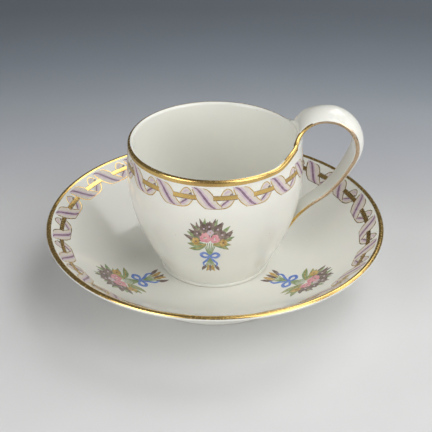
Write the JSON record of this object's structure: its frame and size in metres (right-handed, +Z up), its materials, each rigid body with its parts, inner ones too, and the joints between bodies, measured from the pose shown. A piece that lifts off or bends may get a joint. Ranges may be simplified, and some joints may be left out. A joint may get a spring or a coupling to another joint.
{
  "type": "cabinet cup and saucer",
  "caption": "Porcelain cabinet cup with a high strap handle rising from its rim, standing in a deep matching saucer, with gilt edges and a ribbon border.",
  "frame": {"origin": "centre of the saucer's foot ring, on the plane that it stands on", "axes": "+Z up, +X from the cup's axis towards the handle"},
  "size_m": [0.134, 0.134, 0.0761],
  "materials": {
    "porcelain": "clear glossy glaze over warm white porcelain",
    "gilding": "burnished gold line, fired on the glaze and lightly rubbed",
    "white_enamel": "thin glossy enamel",
    "lilac_enamel": "thin glossy enamel",
    "purple_enamel": "thin glossy enamel",
    "rose_enamel": "thin glossy enamel",
    "blue_enamel": "thin glossy enamel",
    "green_enamel": "thin glossy enamel",
    "brown_enamel": "thin glossy enamel",
    "ochre_enamel": "thin glossy enamel"
  },
  "bodies": {
    "saucer": {"saucer": "porcelain"},
    "cup": {"cup_body": "porcelain", "cup_handle": "porcelain"}
  },
  "joints": [
    {"name": "cup_lift", "type": "slide", "parent": "saucer", "child": "cup", "axis": [0, 0, 1], "range_m": [0, 0.06]}
  ]
}
